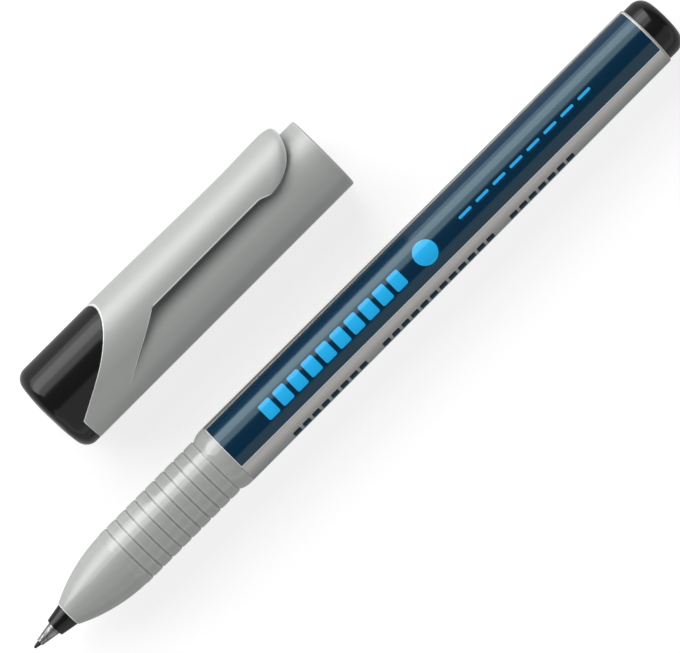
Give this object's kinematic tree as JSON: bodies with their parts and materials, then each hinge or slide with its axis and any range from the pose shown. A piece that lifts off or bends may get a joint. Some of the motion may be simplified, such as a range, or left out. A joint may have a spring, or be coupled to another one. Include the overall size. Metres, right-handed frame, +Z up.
{
  "type": "non-permanent marker",
  "caption": "Fine fibre-tip marker lying uncapped, with ring grip and arched nose, round barrel with a printed label, and a clip cap with a sloping end insert beside it.",
  "frame": {"origin": "centre of the underside of the box round pen and cap, on the surface that they lie on", "axes": "+X along the pen from its point to its rear end, +Y from the pen towards the cap, +Z up"},
  "size_m": [0.1272, 0.0344, 0.0137],
  "materials": {
    "barrel_plastic": "glossy moulded polypropylene",
    "cap_plastic": "satin moulded polypropylene",
    "black_plastic": "glossy black moulding",
    "label_print": "printed film, dark blue panel on warm silver grey",
    "sleeve_metal": "drawn and turned metal",
    "nib_fibre": "ink-soaked bonded fibre",
    "core_fibre": "ink-soaked fibre core",
    "film_plastic": "thin wrapping film",
    "seal_plastic": "natural polyethylene"
  },
  "bodies": {
    "pen": {"barrel": "barrel_plastic", "label_sleeve": "label_print", "nib_holder": "black_plastic", "nib_sleeve": "sleeve_metal", "fibre_nib": "nib_fibre", "ink_reservoir": "core_fibre", "reservoir_film": "film_plastic", "end_plug": "black_plastic"},
    "cap": {"cap_shell": "cap_plastic", "cap_end_insert": "black_plastic", "inner_cap": "seal_plastic"},
    "clip": {"clip": "cap_plastic"}
  },
  "joints": [
    {"name": "cap_pull", "type": "slide", "parent": "pen", "child": "cap", "axis": [-1, 0, 0], "range_m": [0, 0.084]},
    {"name": "clip_flex", "type": "hinge", "parent": "cap", "child": "clip", "pos_m": [-0.01253, 0.01634, 0.01055], "axis": [0, -0.5, 0.866], "range_deg": [0, 5], "stiffness_Nm_per_rad": 1.5}
  ]
}
